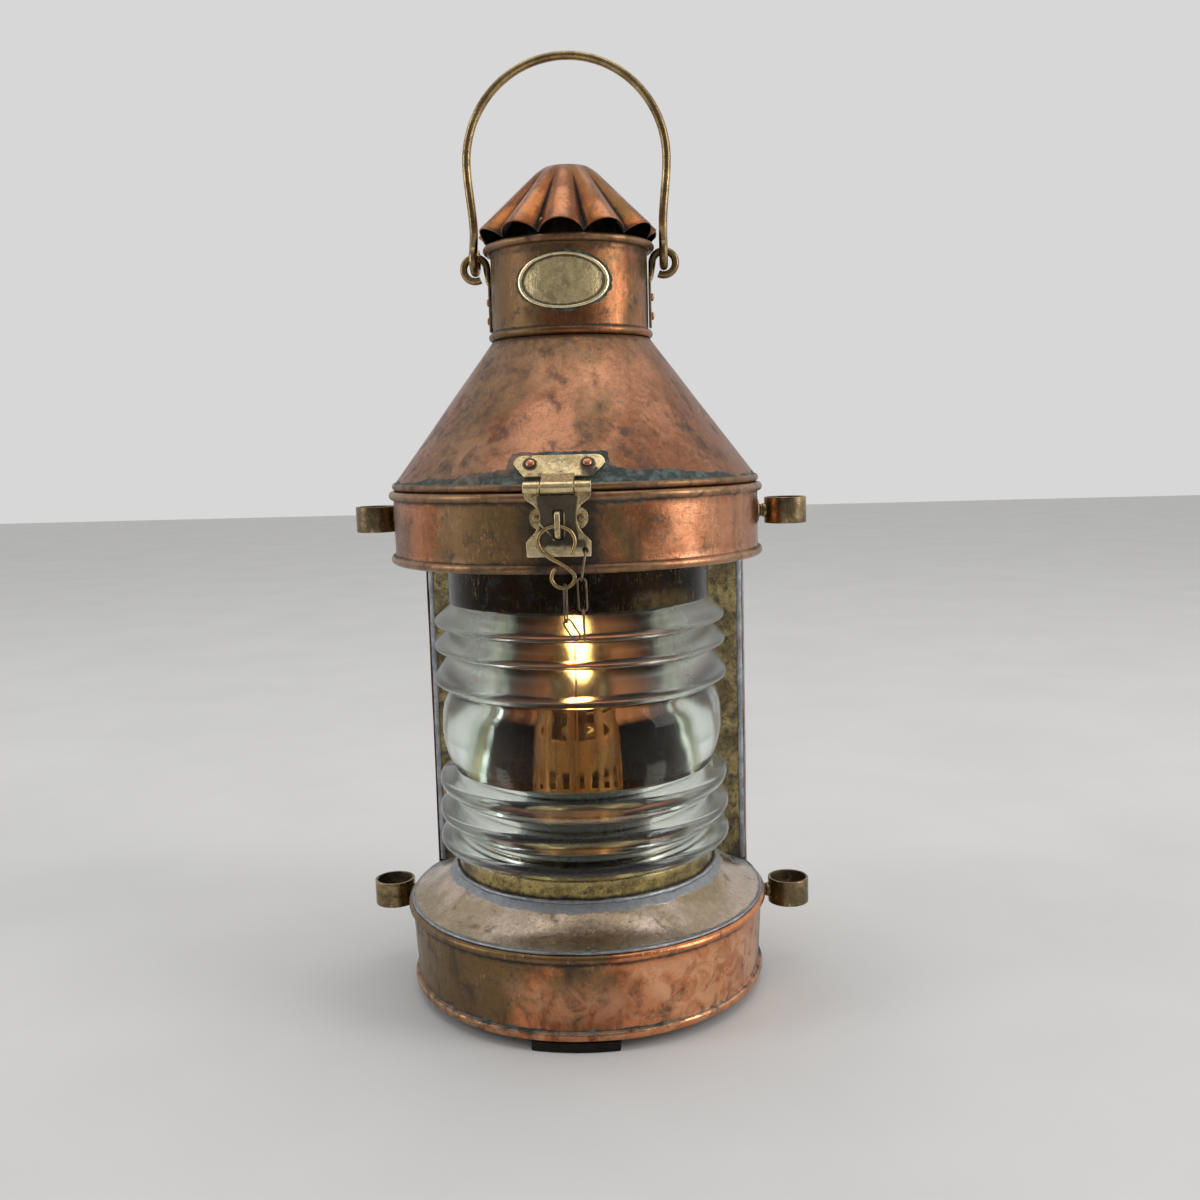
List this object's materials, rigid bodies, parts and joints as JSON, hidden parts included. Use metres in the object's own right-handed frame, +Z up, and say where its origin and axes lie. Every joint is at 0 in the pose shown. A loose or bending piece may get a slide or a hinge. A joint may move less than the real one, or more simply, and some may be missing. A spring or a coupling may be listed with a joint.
{
  "type": "masthead light",
  "caption": "Vintage ship's masthead light of copper and brass, with a prismatic drum lens, fluted vent cap, swinging bail, hasp latch with chained hook, and oil lamp inside.",
  "frame": {"origin": "centre of the foot cross's underside, on the lantern's axis", "axes": "+Z up along the lantern's axis; -Y is the front, where the lens and the latch face; +X is at the right as seen from the front"},
  "size_m": [0.2954, 0.2525, 0.5873],
  "materials": {
    "copper": "aged copper sheet",
    "brown_copper": "stained brown copper sheet",
    "brass": "worn brass",
    "aged_brass": "dark aged brass",
    "steel_wire": "dull wire",
    "glass": "clear moulded glass with a pale green tint",
    "wick_cotton": "woven cotton",
    "blackened": "blackened"
  },
  "bodies": {
    "lantern": {"foot_cross": "blackened", "base_drum": "copper", "base_bottom_plate": "copper", "base_top_plate": "brown_copper", "lower_lens_ring": "aged_brass", "upper_lens_ring": "aged_brass", "lens": "glass", "right_wing_plate": "brass", "left_wing_plate": "brass", "back_shell": "copper", "upper_drum": "copper", "drum_floor_plate": "brown_copper", "keeper_plate": "brass", "keeper_rivet_left": "copper", "keeper_rivet_right": "copper", "drum_hinge_leaf": "aged_brass", "drum_hinge_rivet_left": "copper", "drum_hinge_rivet_right": "copper", "hinge_pin": "steel_wire", "mounting_ring_upper_left": "aged_brass", "mounting_ring_upper_right": "aged_brass", "mounting_ring_lower_left": "aged_brass", "mounting_ring_lower_right": "aged_brass", "font": "copper", "burner_body": "brass", "burner_gallery": "brass", "wick_tube": "brass", "wick": "wick_cotton"},
    "lid": {"lid_cone": "copper", "chimney": "copper", "fluted_cap": "copper", "nameplate": "brass", "bail_lug_right": "brass", "bail_lug_left": "brass", "bail_lug_right_rivet_lower": "copper", "bail_lug_right_rivet_upper": "copper", "bail_lug_left_rivet_lower": "copper", "bail_lug_left_rivet_upper": "copper", "latch_plate": "brass", "latch_rivet_left": "copper", "latch_rivet_right": "copper", "lid_hinge_leaf": "aged_brass", "lid_hinge_rivet_left": "copper", "lid_hinge_rivet_right": "copper"},
    "bail_body": {"bail": "brass"},
    "hasp_body": {"hasp": "brass", "hasp_pin": "steel_wire", "staple_eye": "brass"},
    "hook_body": {"pin_hook": "brass"},
    "front_chain": {"chain_link_1": "steel_wire", "chain_link_2": "steel_wire"},
    "rear_chain": {"chain_link_3": "steel_wire", "chain_link_4": "steel_wire", "chain_link_5": "steel_wire"},
    "knob_body": {"wick_knob": "brass"}
  },
  "joints": [
    {"name": "lid_hinge", "type": "hinge", "parent": "lantern", "child": "lid", "pos_m": [0, 0.1219, 0.32315], "axis": [-1, 0, 0], "range_deg": [0, 100]},
    {"name": "bail_swing", "type": "hinge", "parent": "lid", "child": "bail_body", "pos_m": [0, 0, 0.4646], "axis": [1, 0, 0], "range_deg": [-120, 120]},
    {"name": "hasp_hinge", "type": "hinge", "parent": "lid", "child": "hasp_body", "pos_m": [0, -0.1198, 0.3257], "axis": [-1, 0, 0], "range_deg": [0, 150]},
    {"name": "hook_swing", "type": "hinge", "parent": "hasp_body", "child": "hook_body", "pos_m": [0, -0.12305, 0.3048], "axis": [-1, 0, 0], "range_deg": [0, 35]},
    {"name": "front_chain_swing", "type": "hinge", "parent": "hook_body", "child": "front_chain", "pos_m": [0.00301, -0.12305, 0.27157], "axis": [-1, 0, 0], "range_deg": [-35, 0]},
    {"name": "rear_chain_swing", "type": "hinge", "parent": "hasp_body", "child": "rear_chain", "pos_m": [0.01424, -0.1202, 0.28923], "axis": [-1, 0, 0], "range_deg": [0, 22.75]},
    {"name": "knob_turn", "type": "hinge", "parent": "lantern", "child": "knob_body", "pos_m": [0, 0.0048, 0.1373], "axis": [1, 0, 0], "range_deg": [-70, 70]}
  ],
  "couplings": [
    {"joint": "front_chain_swing", "follows": "hook_swing", "ratio": -1},
    {"joint": "rear_chain_swing", "follows": "hook_swing", "ratio": 0.65}
  ]
}
